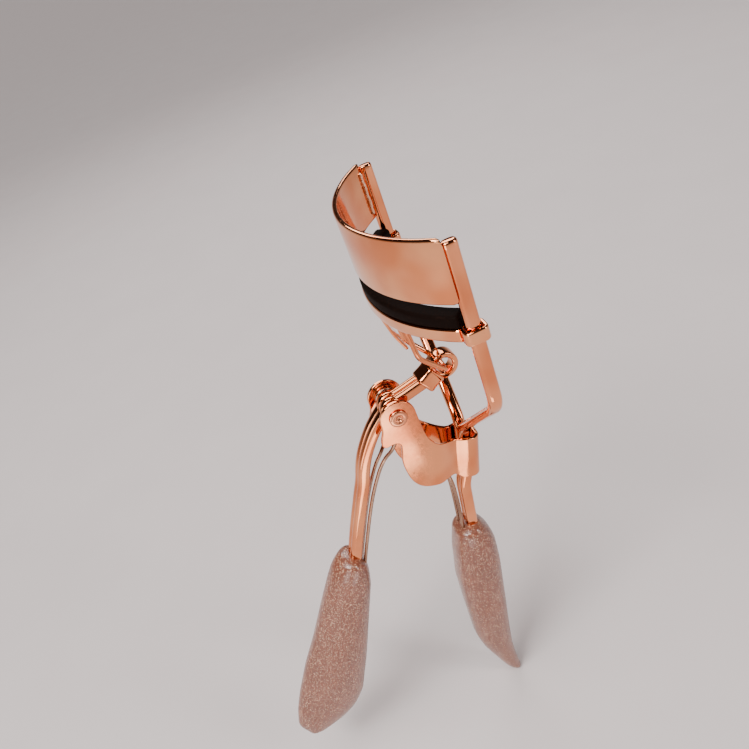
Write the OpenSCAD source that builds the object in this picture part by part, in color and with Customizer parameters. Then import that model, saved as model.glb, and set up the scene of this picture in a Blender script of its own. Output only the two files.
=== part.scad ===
/* [Head] */
// Distance between the centres of the two guide rods
rod_spacing = 34; // [32:0.5:36]
// Sagitta of the jaw curve, measured on its outer face
jaw_sagitta = 7.4; // [6.5:0.1:8]
// Height of the lower jaw's underside above the corners of the guide rods
jaw_z = 11.95; // [11:0.05:12.5]
// Height of the channel that holds the pad
channel_h = 2.0; // [1.6:0.1:2.4]
// Height of the pad's top above the underside of the channel
pad_h = 3.9; // [3.4:0.1:4.2]
// Radial depth of the channel from its front face to its back face
channel_depth = 3.0; // [2.6:0.1:3.4]
// Gap between the pad and the upper jaw as the curler stands
lash_gap = 1.75; // [1.7:0.05:3]
// Height of the upper jaw plate
plate_h = 9.0; // [7:0.5:10]
// Thickness of the upper jaw plate
plate_t = 0.8; // [0.6:0.1:1]

/* [Rods] */
// Thickness of a rod across the curler
rod_w = 1.45; // [1.2:0.05:1.6]
// Depth of a rod from front to back
rod_d = 2.0; // [1.6:0.1:2.4]
// Length of the straight part of a guide rod above its corner
rod_rise = 26; // [24:0.5:28]
// Clearance around a guide rod in the loops of the lower jaw
slide_clearance = 0.08; // [0.05:0.01:0.1]

/* [Pivot] */
// Radius of the pivot rivet's shank
rivet_r = 1.0; // [0.8:0.05:1.1]
// Radial running clearance of the lever on the rivet
rivet_clearance = 0.05; // [0.02:0.01:0.1]
// Radius of the rivet's rolled head
rivet_head_r = 1.45; // [1.3:0.05:1.8]
// Radius of the ears of the clip around the rivet
ear_r = 2.85; // [2.5:0.05:3]
// Thickness of the clip's folded sheet
sheet_t = 0.6; // [0.5:0.05:0.7]
// Inside distance between the two cheeks of the clip
cheek_gap = 5.8; // [5.6:0.1:6.4]
// Radius of the spring wire
spring_wire_r = 0.3; // [0.2:0.05:0.3]

/* [Linkage] */
// Outer radius of the lever's rolled eye
eye_r = 2.25; // [2.1:0.05:2.4]
// Radius of the opening in the eye
eye_hole_r = 1.3; // [1.2:0.05:1.35]
// Width of the eye across the curler
eye_w = 2.4; // [2:0.1:2.4]
// Radius of the wire of the bail under the lower jaw
bail_r = 0.42; // [0.35:0.01:0.45]

/* [Handles] */
// Length of a handle cover along its shank
cover_len = 44.5; // [44.5:0.5:46]
// Largest width of a handle cover across the curler
cover_w = 7.6; // [6:0.2:8]

/* [Hidden] */
$fn = 48;
eps = 0.01;
rod_x = rod_spacing / 2;
// The jaw curve is one arc through the fronts of the two rods.
arc_end_y = -1.5;
arc_r = (rod_x * rod_x + jaw_sagitta * jaw_sagitta) / (2 * jaw_sagitta);
arc_y = arc_end_y - jaw_sagitta + arc_r;
plate_z = jaw_z + pad_h + lash_gap;
channel_wall = 0.5;
// No jaw piece reaches further back than this.
jaw_back_y = 3;
channel_end_x = rod_x - 1.7;
pad_end_x = rod_x - 1.1;
loop_wall = 1.0;

// The two guide rods meet here and run on side by side as the fixed shank.
junction = [-1.9, -14.3];
shank_x = rod_w / 2 + eps / 2;
// Barrel of the clip: top and bottom of its centre line, as y and z
barrel_top = [-1.95, -15.0];
barrel_tilt = 12.7;
barrel_len = 8.0;
barrel_half_v = 1.75;
barrel_half_x = shank_x + rod_w / 2 + sheet_t;
barrel_end = barrel_top + barrel_len * [-sin(barrel_tilt), -cos(barrel_tilt)];

// Pivot and eye centres, as y and z
pivot = [-11.35, -4.4];
eye = [-1.7, -1.0];
bar = [-1.78, -1.25];
block = [-4.4, -2.2];
block_tilt = 30;
block_size = [3.6, 2.9, 3.4];
eye_tail = [eye, block + [1.15, 0.5]];
tail_t = 1.2;
hub_r = 2.1;
// Angles between which the hub's rim stands proud of the bar, below it and above it
hub_below = [-22, -105];
hub_above = [197, 36];
hub_steps = 12;
cheek_x = cheek_gap / 2 + sheet_t / 2;
rivet_head_h = 0.45;

// Tops of the handle covers, as y and z, and the tilt of each handle
fixed_top = [-5.75, -33.8];
fixed_tilt = 7.5;
moving_top = [-27.6, -28.5];
moving_tilt = 22;
shank_in_cover = 30;
moving_shank_offset = -1.5;

// Centre line of the lever from the crimp block over the pivot into the handle
moving_entry = moving_top + moving_shank_offset * [-cos(moving_tilt), sin(moving_tilt)];
lever_path = [
    block, [-8.6, -3.9], [-11.35, -4.7], [-14.6, -7.3], [-17.2, -10.0], [-18.9, -12.6],
    [-20.2, -15.8], [-22.0, -19.6], moving_entry,
    moving_entry + shank_in_cover * [-sin(moving_tilt), -cos(moving_tilt)]
];
fixed_path = [
    junction + [sin(barrel_tilt), cos(barrel_tilt)], barrel_end, [-4.8, -25.2], fixed_top,
    fixed_top + shank_in_cover * [-sin(fixed_tilt), -cos(fixed_tilt)]
];

// Side outline of a cheek of the clip: the plate, then the round ear, as y and z
cheek_plate = [
    [-8.45, -9.0], [-8.0, -11.1], [-7.0, -12.6], [-5.6, -13.5], [-3.6, -14.4],
    [-0.1, -15.2], [-1.9, -22.9], [-5.0, -22.0], [-5.7, -20.5], [-7.2, -20.4], [-9.0, -20.3],
    [-11.4, -19.4], [-12.7, -17.7], [-13.2, -15.6], [-13.3, -12.6], [-12.8, -10.2],
    [-13.0, -8.2]
];
cheek_outline = concat(
    cheek_plate, [for (a = [190 : -10 : -10]) pivot + ear_r * [cos(a), sin(a)]]
);
// Plan of the folded sheet: half of it, from the back of the barrel to the ear's front
fold_back = barrel_half_v - sheet_t / 2;
fold_plan = [
    [0, fold_back], [barrel_half_x - sheet_t / 2, fold_back],
    [barrel_half_x - sheet_t / 2, -2.3], [cheek_x, -5.2], [cheek_x, -16]
];

// Cover outlines: distance down the shank, and offset away from the other handle
fixed_outline = [
    [0.3, -1.8], [1.3, -3.4], [6, -3.9], [13, -4.3], [20, -3.8], [29.8, -2.9], [33.5, -1.9],
    [36.6, -0.5], [42.5, 2.2], [44.2, 3.6], [44.5, 4.6], [43.7, 5.4], [40, 4.6], [35, 4.1],
    [27.7, 4.0], [10.2, 4.0], [4.8, 3.6], [2.2, 2.8], [0.3, 1.2]
];
moving_outline = [
    [0.5, -2.2], [2.0, -3.8], [6, -4.3], [25, -4.5], [34, -4.3], [38, -3.2], [41.5, -0.6],
    [43.8, 2.6], [44.5, 5.0], [44.1, 7.0], [42.4, 8.3], [38, 8.4], [33, 8.0], [26, 7.0],
    [19.5, 5.6], [11, 4.2], [5.4, 3.2], [2.0, 2.4], [0.2, 0.6]
];
// Half width of a cover across the curler, by the distance down the shank
cover_side = [
    [0, 0.60], [1.2, 0.84], [4, 0.97], [10, 1], [22, 0.96], [32, 0.80], [40, 0.60], [44.6, 0.42]
];

// Spring: rings around the rivet, one on each body, and the legs that leave them
coil_r = 1.75;
coil_frame_x = 2.55;
coil_lever_x = 1.79;
coil_sweep = 290;
frame_leg_angle = 199;
lever_leg_angle = -36;
leg_x = 1.0;
frame_leg = [
    [-10.6, -12.2], [-7.4, -20.2], [-6.75, -23], [-6.9, -27], [-7.55, -33.5], [-8.4, -40]
];
lever_leg = [
    [-13.4, -10.3], [-15.5, -12.6], [-17.4, -14.9], [-20.4, -20.1], [-24.6, -29.3], [-26.9, -35]
];

// Bail: half of its wire, from the jaw down to the middle of the bar through the eye
bail_leg = [
    [3.2, -6.4, jaw_z], [3.05, -5.5, 4.6], [3.0, -5.35, 3.7], [2.85, -4.9, 2.8],
    [2.1, -2.3, -0.6], [1.7, bar[0] - 0.12, bar[1] + 0.14], [1.2, bar[0], bar[1]]
];

// The frame's origin is under the middle of the whole curler.
base_z = -78.52;
middle_y = -24.59;

module place() {
    translate([0, -middle_y, -base_z]) children();
}

// Turns a flat y-z drawing into a slab across X, centred on x.
module slab(x, width) {
    translate([x - width / 2, 0, 0])
        rotate([90, 0, 90])
            linear_extrude(width) children();
}

// A bar of constant width along a flat path, round at its corners and ends
module stroke(path, width) {
    for (i = [0 : len(path) - 1])
        translate(path[i]) circle(d = width);
    for (i = [0 : len(path) - 2])
        let (step = path[i + 1] - path[i])
            translate(path[i])
                rotate(atan2(step[1], step[0]))
                    translate([0, -width / 2]) square([norm(step), width]);
}

// One side of a flat bar: its path moved sideways, with mitred corners
function bar_side(path, off) =
    [for (i = [0 : len(path) - 1])
        let (
            into = path[max(i, 1)] - path[max(i, 1) - 1],
            away = path[min(i + 1, len(path) - 1)] - path[min(i, len(path) - 2)],
            m = [-into[1], into[0]] / norm(into),
            n = [-away[1], away[0]] / norm(away)
        )
        path[i] + off * (m + n) / (1 + m * n)];

// A bar of constant width along a flat path, square at its ends
module bar(path, width) {
    back = bar_side(path, -width / 2);
    polygon(concat(
        bar_side(path, width / 2), [for (i = [len(path) - 1 : -1 : 0]) back[i]]
    ));
}

// The ring of points round a wire at one point of its path
function wire_ring(path, i, r, sides, across) =
    let (
        along = path[min(i + 1, len(path) - 1)] - path[max(i - 1, 0)],
        u = cross(along, across) / norm(cross(along, across)),
        v = cross(along, u) / norm(along)
    )
    [for (k = [0 : sides - 1])
        path[i] + r * (cos(360 * k / sides) * u + sin(360 * k / sides) * v)];

// A round wire swept along a path in space; across is never in line with the path.
module wire(path, r, across) {
    sides = 10;
    last = sides * (len(path) - 1);
    polyhedron(
        points = [for (i = [0 : len(path) - 1]) each wire_ring(path, i, r, sides, across)],
        faces = concat(
            [[for (k = [0 : sides - 1]) k]],
            [for (i = [0 : sides : last - sides], k = [0 : sides - 1])
                let (next = (k + 1) % sides)
                    [i + next, i + k, i + sides + k, i + sides + next]],
            [[for (k = [sides - 1 : -1 : 0]) last + k]]
        )
    );
}

// Part of a ring along the jaw curve, in front of the line y = back_y
module jaw_arc(z, height, r_out, r_in, end_x, back_y) {
    translate([0, arc_y, z])
        intersection() {
            difference() {
                cylinder(h = height, r = r_out, $fn = 180);
                translate([0, 0, -1]) cylinder(h = height + 2, r = r_in, $fn = 180);
            }
            translate([-end_x, -2 * arc_r, 0])
                cube([2 * end_x, 2 * arc_r - arc_y + back_y, height]);
        }
}

module upper_jaw_plate() {
    color("#d98f6a") place()
        jaw_arc(plate_z, plate_h, arc_r, arc_r - plate_t, rod_x + rod_w / 2, -rod_d / 2);
}

// Brazed seams in the corners between the plate's back and the rods' inner sides
module plate_braze() {
    seam_inset = 0.8;
    seam = [0.8, 1.3, plate_h - 2 * seam_inset];
    seam_front = -rod_d / 2 - 0.95;
    color("#c98460") place()
        intersection() {
            for (side = [-1, 1])
                translate([side * (rod_x - rod_w / 2 - seam[0] / 2) - seam[0] / 2, seam_front,
                    plate_z + seam_inset])
                    cube(seam);
            translate([0, arc_y, plate_z])
                cylinder(h = plate_h, r = arc_r - plate_t - eps, $fn = 180);
        }
}

module guide_rod(side) {
    corner = 1.5;
    color("#d98f6a") place() {
        translate([side * rod_x - rod_w / 2, -rod_d / 2, 0]) cube([rod_w, rod_d, rod_rise]);
        hull() {
            translate([side * rod_x - rod_w / 2, -rod_d / 2, 0]) cube([rod_w, rod_d, corner]);
            translate([side * shank_x - rod_w / 2, junction[0] - rod_d / 2, junction[1]])
                cube([rod_w, rod_d, corner]);
        }
        slab(side * shank_x, rod_w) bar(fixed_path, rod_d);
    }
}

module guide_rod_right() { guide_rod(1); }
module guide_rod_left() { guide_rod(-1); }

// One piece of sheet, folded round the two rods and spread into two eared cheeks
module pivot_clip() {
    color("#d2875f") place()
        difference() {
            intersection() {
                slab(0, 4 * cheek_x) polygon(cheek_outline);
                translate([0, barrel_top[0], barrel_top[1]])
                    rotate([-barrel_tilt, 0, 0])
                        translate([0, 0, -14])
                            linear_extrude(30) {
                                stroke(fold_plan, sheet_t);
                                mirror([1, 0]) stroke(fold_plan, sheet_t);
                            }
            }
            slab(0, 4 * cheek_x) translate(pivot) circle(rivet_r);
            slab(0, 4 * shank_x) bar(fixed_path, rod_d + 2 * eps);
        }
}

// Shank through both cheeks, with a rolled hollow head on the right and a plain one left
module pivot_rivet() {
    head_x = cheek_x + sheet_t / 2;
    dimple_r = 0.62;
    color("#cf8058") place() {
        slab(0, 2 * head_x) translate(pivot) circle(rivet_r);
        slab(head_x + rivet_head_h / 2, rivet_head_h)
            translate(pivot)
                difference() {
                    circle(rivet_head_r);
                    circle(dimple_r);
                }
        slab(-head_x - rivet_head_h / 2, rivet_head_h) translate(pivot) circle(rivet_head_r);
    }
}

// A turn of the coil round the rivet that ends where its leg leaves it
function coil_turn(x, end_angle, sweep) =
    [for (k = [0 : 20])
        let (a = end_angle + sweep * (k / 20 - 1))
            [x, pivot[0] + coil_r * cos(a), pivot[1] + coil_r * sin(a)]];

module spring_half(side, coil_x, end_angle, sweep, leg) {
    color("#b8a08c") place()
        scale([side, 1, 1])
            wire(
                concat(
                    coil_turn(coil_x, end_angle, sweep),
                    [[coil_x, leg[0][0], leg[0][1]]],
                    [for (i = [1 : len(leg) - 1]) [leg_x, leg[i][0], leg[i][1]]]
                ),
                spring_wire_r, [1, 0, 0]
            );
}

module spring_frame_right() {
    spring_half(1, coil_frame_x, frame_leg_angle, coil_sweep, frame_leg);
}
module spring_frame_left() {
    spring_half(-1, coil_frame_x, frame_leg_angle, coil_sweep, frame_leg);
}
module spring_lever_right() {
    spring_half(1, coil_lever_x, lever_leg_angle, -coil_sweep, lever_leg);
}
module spring_lever_left() {
    spring_half(-1, coil_lever_x, lever_leg_angle, -coil_sweep, lever_leg);
}

// Room for a shank's two rods and for the spring legs beside them
module shank_room(shank, leg) {
    slab(0, 4 * shank_x) bar(shank, rod_d + 2 * eps);
    slab(0, 2 * (leg_x + spring_wire_r + eps)) stroke(leg, 2 * (spring_wire_r + eps));
}

// A moulded cover: its side outline, narrowed across the curler towards the tip
module handle_cover(top, tilt, outward, outline) {
    half = cover_w / 2;
    profile = concat(
        [for (p = cover_side) [p[1] * half, -min(p[0], cover_len)]],
        [for (i = [len(cover_side) - 1 : -1 : 0])
            [-cover_side[i][1] * half, -min(cover_side[i][0], cover_len)]]
    );
    translate([0, top[0], top[1]])
        rotate([-tilt, 0, 0])
            intersection() {
                slab(0, cover_w) polygon([for (p = outline) [outward * p[1], -p[0]]]);
                rotate([90, 0, 0]) linear_extrude(40, center = true) polygon(profile);
            }
}

module fixed_handle_cover() {
    color("#b5857a") place()
        difference() {
            handle_cover(fixed_top, fixed_tilt, 1, fixed_outline);
            shank_room(fixed_path, frame_leg);
        }
}

module moving_handle_cover() {
    color("#b5857a") place()
        difference() {
            handle_cover(moving_top, moving_tilt, -1, moving_outline);
            shank_room(lever_path, lever_leg);
        }
}

// Points of the hub's rim from one angle to another
function hub_rim(turn) =
    [for (k = [0 : hub_steps])
        let (a = turn[0] + (turn[1] - turn[0]) * k / hub_steps)
            pivot + hub_r * [cos(a), sin(a)]];

// One of the lever's two rods, flattened to a drilled disc round the rivet
module lever_rod(side) {
    under = bar_side(lever_path, rod_d / 2);
    over = bar_side(lever_path, -rod_d / 2);
    last = len(lever_path) - 1;
    color("#d98f6a") place()
        slab(side * shank_x, rod_w)
            difference() {
                polygon(concat(
                    [under[0], under[1]],
                    hub_rim(hub_below),
                    [for (i = [3 : last]) under[i]],
                    [for (i = [last : -1 : 3]) over[i]],
                    hub_rim(hub_above),
                    [over[1], over[0]]
                ));
                translate(pivot) circle(rivet_r + rivet_clearance);
            }
}

module lever_rod_right() { lever_rod(1); }
module lever_rod_left() { lever_rod(-1); }

// Crimped block that clamps the eye's tail onto the ends of the two rods
module crimp_block() {
    color("#d98f6a") place()
        difference() {
            translate([0, block[0], block[1]])
                rotate([block_tilt, 0, 0]) cube(block_size, center = true);
            slab(0, 4 * shank_x) bar(lever_path, rod_d + 2 * eps);
            slab(0, eye_w + 2 * eps) stroke(eye_tail, tail_t + 2 * eps);
            slab(0, 2 * block_size[0]) translate(eye) circle(eye_r + eps);
        }
}

// Rolled strip: a ring with its tail in the block
module lever_eye() {
    color("#d98f6a") place()
        slab(0, eye_w)
            difference() {
                union() {
                    translate(eye) circle(eye_r);
                    stroke(eye_tail, tail_t);
                }
                translate(eye) circle(eye_hole_r);
                bar(lever_path, rod_d + 2 * eps);
            }
}

// U-shaped channel along the jaw curve, open at the top
module lower_jaw_channel() {
    color("#d98f6a") place()
        difference() {
            jaw_arc(jaw_z, channel_h, arc_r, arc_r - channel_depth, channel_end_x, jaw_back_y);
            jaw_arc(jaw_z + channel_wall, channel_h, arc_r - channel_wall,
                arc_r - channel_depth + channel_wall, channel_end_x + 1, jaw_back_y);
        }
}

// Soft strip seated in the channel and standing above it
module jaw_pad() {
    seat_r = arc_r - channel_wall;
    back_r = arc_r - channel_depth + channel_wall;
    color("#241712") place() {
        jaw_arc(jaw_z + channel_wall, channel_h - channel_wall, seat_r, back_r,
            channel_end_x, jaw_back_y);
        jaw_arc(jaw_z + channel_h, pad_h - channel_h, arc_r - 0.1, back_r - 0.1, pad_end_x, jaw_back_y);
    }
}

// Loop at the end of the channel that slides on a guide rod
module jaw_loop(side) {
    hole = [rod_w + 2 * slide_clearance, rod_d + 2 * slide_clearance];
    color("#d98f6a") place()
        translate([side * rod_x, 0, jaw_z])
            linear_extrude(channel_h)
                difference() {
                    square(
                        [2 * (rod_x - channel_end_x), rod_d + 2 * loop_wall], center = true
                    );
                    square(hole, center = true);
                }
}

module jaw_loop_right() { jaw_loop(1); }
module jaw_loop_left() { jaw_loop(-1); }

// Bent wire under the jaw whose closed end passes through the lever's eye
module jaw_bail() {
    color("#e0a07c") place()
        wire(
            concat(bail_leg, [for (i = [len(bail_leg) - 1 : -1 : 0])
                [-bail_leg[i][0], bail_leg[i][1], bail_leg[i][2]]]),
            bail_r, [0, 0.65, 0.75]
        );
}

// Tongue of sheet from the jaw's front edge back to the bail
module bail_foot() {
    foot_t = 0.45;
    color("#d98f6a") place()
        difference() {
            slab(0, 5.2) stroke([[-8.3, jaw_z - 0.3], [-7.4, 8.2], [-6.25, 5.1]], foot_t);
            translate([-5, -20, jaw_z]) cube([10, 20, 5]);
        }
}

upper_jaw_plate();
plate_braze();
guide_rod_right();
guide_rod_left();
pivot_clip();
pivot_rivet();
spring_frame_right();
spring_frame_left();
fixed_handle_cover();
lever_rod_right();
lever_rod_left();
crimp_block();
lever_eye();
spring_lever_right();
spring_lever_left();
moving_handle_cover();
lower_jaw_channel();
jaw_pad();
jaw_loop_right();
jaw_loop_left();
jaw_bail();
bail_foot();
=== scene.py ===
import math

import bmesh
import bpy
from mathutils import Matrix, Vector
from mathutils.geometry import delaunay_2d_cdt


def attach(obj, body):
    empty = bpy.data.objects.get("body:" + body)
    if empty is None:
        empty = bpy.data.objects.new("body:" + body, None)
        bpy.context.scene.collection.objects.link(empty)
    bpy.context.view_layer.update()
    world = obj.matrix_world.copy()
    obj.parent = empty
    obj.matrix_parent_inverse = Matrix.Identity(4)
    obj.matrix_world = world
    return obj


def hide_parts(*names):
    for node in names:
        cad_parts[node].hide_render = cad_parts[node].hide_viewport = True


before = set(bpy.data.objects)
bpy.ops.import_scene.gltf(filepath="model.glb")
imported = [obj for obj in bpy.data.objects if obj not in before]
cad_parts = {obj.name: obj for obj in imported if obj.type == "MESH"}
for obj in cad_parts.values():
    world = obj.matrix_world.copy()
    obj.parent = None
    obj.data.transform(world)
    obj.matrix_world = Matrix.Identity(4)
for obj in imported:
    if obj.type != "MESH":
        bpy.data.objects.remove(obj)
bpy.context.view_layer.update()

# ---------------------------------------------------------------------------
# Guide rods. Two drawn rods of rounded oblong section, plated rose gold. Each
# stands straight beside the jaws, turns in below them and runs on through the
# clip, so that the pair is also the shank of the fixed handle.
# ---------------------------------------------------------------------------
ROD_FOOT = Vector((0, 24.59, 78.52))  # the rods' lower corners, in mm from the origin
ROD_X = 17.0
ROD_TOP_Z = 26.0
ROD_BEND_Z = 0.9
ROD_BEND_R = 2.4
ROD_W = 1.45
ROD_D = 2.0
ROD_CORNER_R = 0.66
SHANK_X = 0.73
FIXED_SHANK = [(-1.9, -13.7), (-3.71, -22.8), (-4.8, -25.2), (-5.75, -33.8), (-9.2, -60.0)]


def from_rods(p):
    """A point measured in mm from the rods' lower corners, placed in metres."""
    return (Vector(p) + ROD_FOOT) * 0.001


def rounded_corners(points, radius, steps=8):
    """The path with each inner corner turned into a curve that starts radius mm before it."""
    points = [Vector(p) for p in points]
    path = [points[0]]
    for before, corner, after in zip(points, points[1:], points[2:]):
        reach = min(radius, 0.48 * (before - corner).length, 0.48 * (after - corner).length)
        a = corner + (before - corner).normalized() * reach
        b = corner + (after - corner).normalized() * reach
        for k in range(steps + 1):
            t = k / steps
            path.append(a * (1 - t) ** 2 + corner * 2 * t * (1 - t) + b * t * t)
    path.append(points[-1])
    return path


def lengths(path):
    """How far along the path each of its points lies."""
    total = [0.0]
    for a, b in zip(path, path[1:]):
        total.append(total[-1] + (b - a).length)
    return total


def point_at(path, total, s):
    """The point s mm along the path."""
    s = min(max(s, 0.0), total[-1])
    for i in range(1, len(total)):
        if s <= total[i] or i == len(total) - 1:
            span = total[i] - total[i - 1]
            t = (s - total[i - 1]) / span if span > 1e-9 else 0.0
            return path[i - 1].lerp(path[i], min(max(t, 0.0), 1.0))


def oblong(width, depth, corner, steps=4):
    """A rounded rectangle as a ring of points."""
    ring = []
    for quarter, (sx, sy) in enumerate(((1, 1), (-1, 1), (-1, -1), (1, -1))):
        cx, cy = sx * (width / 2 - corner), sy * (depth / 2 - corner)
        for k in range(steps + 1):
            a = math.radians(90 * quarter + 90 * k / steps)
            ring.append((cx + corner * math.cos(a), cy + corner * math.sin(a)))
    return ring


def drawn(path, section, side, ease=(0.25, 0.25, 0.25), spacing=0.6, taper=None):
    """A bar of one section along a path. side is the way the section's second axis faces.

    ease rounds both ends: how much the section shrinks each way, and over what length.
    """
    total = lengths(path)
    end = total[-1]
    wide = max(abs(a) for a, b in section)
    deep = max(abs(b) for a, b in section)
    stations = []
    for k in range(4):
        turn = math.radians(30 * k)
        stations.append((ease[2] * (1 - math.cos(turn)), 1 - math.sin(turn)))
    count = max(2, int((end - 2 * ease[2]) / spacing))
    inner = [ease[2] + (end - 2 * ease[2]) * k / count for k in range(1, count)]
    rings = stations + [(s, 0.0) for s in inner]
    rings += [(end - s, shrink) for s, shrink in reversed(stations)]
    verts = []
    for s, shrink in rings:
        here = point_at(path, total, s)
        along = (point_at(path, total, s + 0.15) - point_at(path, total, s - 0.15)).normalized()
        facing = Vector(side)
        facing = (facing - along * facing.dot(along)).normalized()
        across = along.cross(facing)
        grow = taper(s / end) if taper else (1.0, 1.0)
        fa = grow[0] * (wide - ease[0] * shrink) / wide
        fb = grow[1] * (deep - ease[1] * shrink) / deep
        verts += [here + across * (a * fa) + facing * (b * fb) for a, b in section]
    n = len(section)
    faces = [tuple(range(n))[::-1], tuple(len(verts) - n + k for k in range(n))]
    for i in range(len(rings) - 1):
        for k in range(n):
            m = (k + 1) % n
            faces.append((i * n + k, i * n + m, (i + 1) * n + m, (i + 1) * n + k))
    return verts, faces


def piece(name, parts, body, nodes, finish, sharp=50, subdivide=0):
    """Makes one named piece from (verts, faces) in mm, in its finish, on its body."""
    mesh = bpy.data.meshes.new(name)
    verts, faces = [], []
    for part_verts, part_faces in parts:
        faces += [tuple(i + len(verts) for i in f) for f in part_faces]
        verts += [from_rods(v) for v in part_verts]
    mesh.from_pydata(verts, [], faces)
    shape = bmesh.new()
    shape.from_mesh(mesh)
    bmesh.ops.recalc_face_normals(shape, faces=shape.faces)
    shape.to_mesh(mesh)
    shape.free()
    mesh.shade_smooth()
    mesh.set_sharp_from_angle(angle=math.radians(sharp))
    mesh.materials.append(finish)
    made = bpy.data.objects.new(name, mesh)
    bpy.context.scene.collection.objects.link(made)
    if subdivide:
        smooth = made.modifiers.new("rounding", "SUBSURF")
        smooth.levels = subdivide
        smooth.render_levels = subdivide
    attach(made, body)
    if nodes:
        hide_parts(*nodes)
    return made


def handling_marks():
    """Haze and hairline marks of a polished plated surface, shared by the metal finishes."""
    group = bpy.data.node_groups.new("handling_marks", "ShaderNodeTree")
    for name, value in (("Grain size", 0.0006), ("Cloud size", 0.006)):
        group.interface.new_socket(name, in_out="INPUT", socket_type="NodeSocketFloat")
        group.interface.items_tree[name].default_value = value
    for name in ("Haze", "Cloud"):
        group.interface.new_socket(name, in_out="OUTPUT", socket_type="NodeSocketFloat")
    nodes, links = group.nodes, group.links
    given = nodes.new("NodeGroupInput")
    result = nodes.new("NodeGroupOutput")
    where = nodes.new("ShaderNodeTexCoord")
    fields = []
    for size in ("Cloud size", "Grain size"):
        inverse = nodes.new("ShaderNodeMath")
        inverse.operation = "DIVIDE"
        inverse.inputs[0].default_value = 1.0
        links.new(given.outputs[size], inverse.inputs[1])
        field = nodes.new("ShaderNodeTexNoise")
        field.inputs["Detail"].default_value = 2.0
        links.new(where.outputs["Object"], field.inputs["Vector"])
        links.new(inverse.outputs[0], field.inputs["Scale"])
        fields.append(field)
    both = nodes.new("ShaderNodeMath")
    both.operation = "MULTIPLY"
    links.new(fields[0].outputs["Fac"], both.inputs[0])
    links.new(fields[1].outputs["Fac"], both.inputs[1])
    spread = nodes.new("ShaderNodeMapRange")
    spread.inputs["From Min"].default_value = 0.16
    spread.inputs["From Max"].default_value = 0.36
    links.new(both.outputs[0], spread.inputs["Value"])
    links.new(spread.outputs["Result"], result.inputs["Haze"])
    drift = nodes.new("ShaderNodeMapRange")
    drift.inputs["From Min"].default_value = 0.36
    drift.inputs["From Max"].default_value = 0.64
    drift.interpolation_type = "SMOOTHSTEP"
    links.new(fields[0].outputs["Fac"], drift.inputs["Value"])
    links.new(drift.outputs["Result"], result.inputs["Cloud"])
    return group


marks = handling_marks()


def plated(name, bright, deep, smooth, hazy, bump=0.03, grain=0.0006, cloud=0.009):
    """A polished plated metal: colour drifts from bright to deep, gloss from smooth to hazy."""
    finish = bpy.data.materials.new(name)
    finish.use_nodes = True
    finish.diffuse_color = (*bright, 1)
    nodes, links = finish.node_tree.nodes, finish.node_tree.links
    shader = nodes["Principled BSDF"]
    shader.inputs["Metallic"].default_value = 1.0
    worn = nodes.new("ShaderNodeGroup")
    worn.node_tree = marks
    worn.inputs["Grain size"].default_value = grain
    worn.inputs["Cloud size"].default_value = cloud
    tone = nodes.new("ShaderNodeMix")
    tone.data_type = "RGBA"
    tone.inputs[6].default_value = (*bright, 1)
    tone.inputs[7].default_value = (*deep, 1)
    links.new(worn.outputs["Cloud"], tone.inputs[0])
    links.new(tone.outputs[2], shader.inputs["Base Color"])
    gloss = nodes.new("ShaderNodeMapRange")
    gloss.inputs["To Min"].default_value = smooth
    gloss.inputs["To Max"].default_value = hazy
    links.new(worn.outputs["Haze"], gloss.inputs["Value"])
    links.new(gloss.outputs["Result"], shader.inputs["Roughness"])
    waves = nodes.new("ShaderNodeBump")
    waves.inputs["Strength"].default_value = bump
    waves.inputs["Distance"].default_value = 0.0004
    links.new(worn.outputs["Cloud"], waves.inputs["Height"])
    links.new(waves.outputs["Normal"], shader.inputs["Normal"])
    return finish


rod_plating = plated("rod_rose_gold", (0.88, 0.33, 0.15), (0.72, 0.22, 0.09), 0.06, 0.12, 0.02)

for side, hand in ((1, "right"), (-1, "left")):
    bends = [(side * ROD_X, 0, ROD_TOP_Z), (side * ROD_X, 0, ROD_BEND_Z)]
    bends += [(side * SHANK_X, y, z) for y, z in FIXED_SHANK]
    bent = rounded_corners(bends, ROD_BEND_R)
    bar = drawn(bent, oblong(ROD_W, ROD_D, ROD_CORNER_R), (0, 1, 0), (0.3, 0.3, 0.35))
    piece(f"rod_{hand}", [bar], "frame", [f"guide_rod_{hand}"], rod_plating)

# ---------------------------------------------------------------------------
# Upper jaw. A strip of plated sheet rolled to the curve of an eyelid, its
# edges rounded and its corners eased, brazed across the front of both rods.
# ---------------------------------------------------------------------------
JAW_R = 23.227
JAW_MIDDLE_Y = 14.327
PLATE_Z = 17.6
PLATE_H = 9.0
PLATE_T = 0.8
PLATE_END_X = 17.45


def jaw_curve(radius, end_x, z, steps=72):
    """The jaw's curve at one radius and height, from the left end to the right."""
    reach = math.asin(end_x / radius)
    turns = [reach * (2 * k / steps - 1) for k in range(steps + 1)]
    return [Vector((radius * math.sin(a), JAW_MIDDLE_Y - radius * math.cos(a), z)) for a in turns]


plate_plating = plated("jaw_rose_gold", (0.93, 0.40, 0.19), (0.78, 0.25, 0.10), 0.05, 0.11, 0.03)
plate_line = jaw_curve(JAW_R - PLATE_T / 2, PLATE_END_X, PLATE_Z + PLATE_H / 2)
plate_verts, plate_faces = drawn(
    plate_line, oblong(PLATE_T, PLATE_H, 0.34), (0, 0, 1), (0.1, 1.3, 1.3), 0.5
)
seam_y = -ROD_D / 2 + 0.01  # the sheet stops where the rods' front faces begin
plate_verts = [Vector((v.x, min(v.y, seam_y), v.z)) for v in plate_verts]
piece(
    "upper_jaw", [(plate_verts, plate_faces)], "frame", ["upper_jaw_plate"], plate_plating,
)

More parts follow.
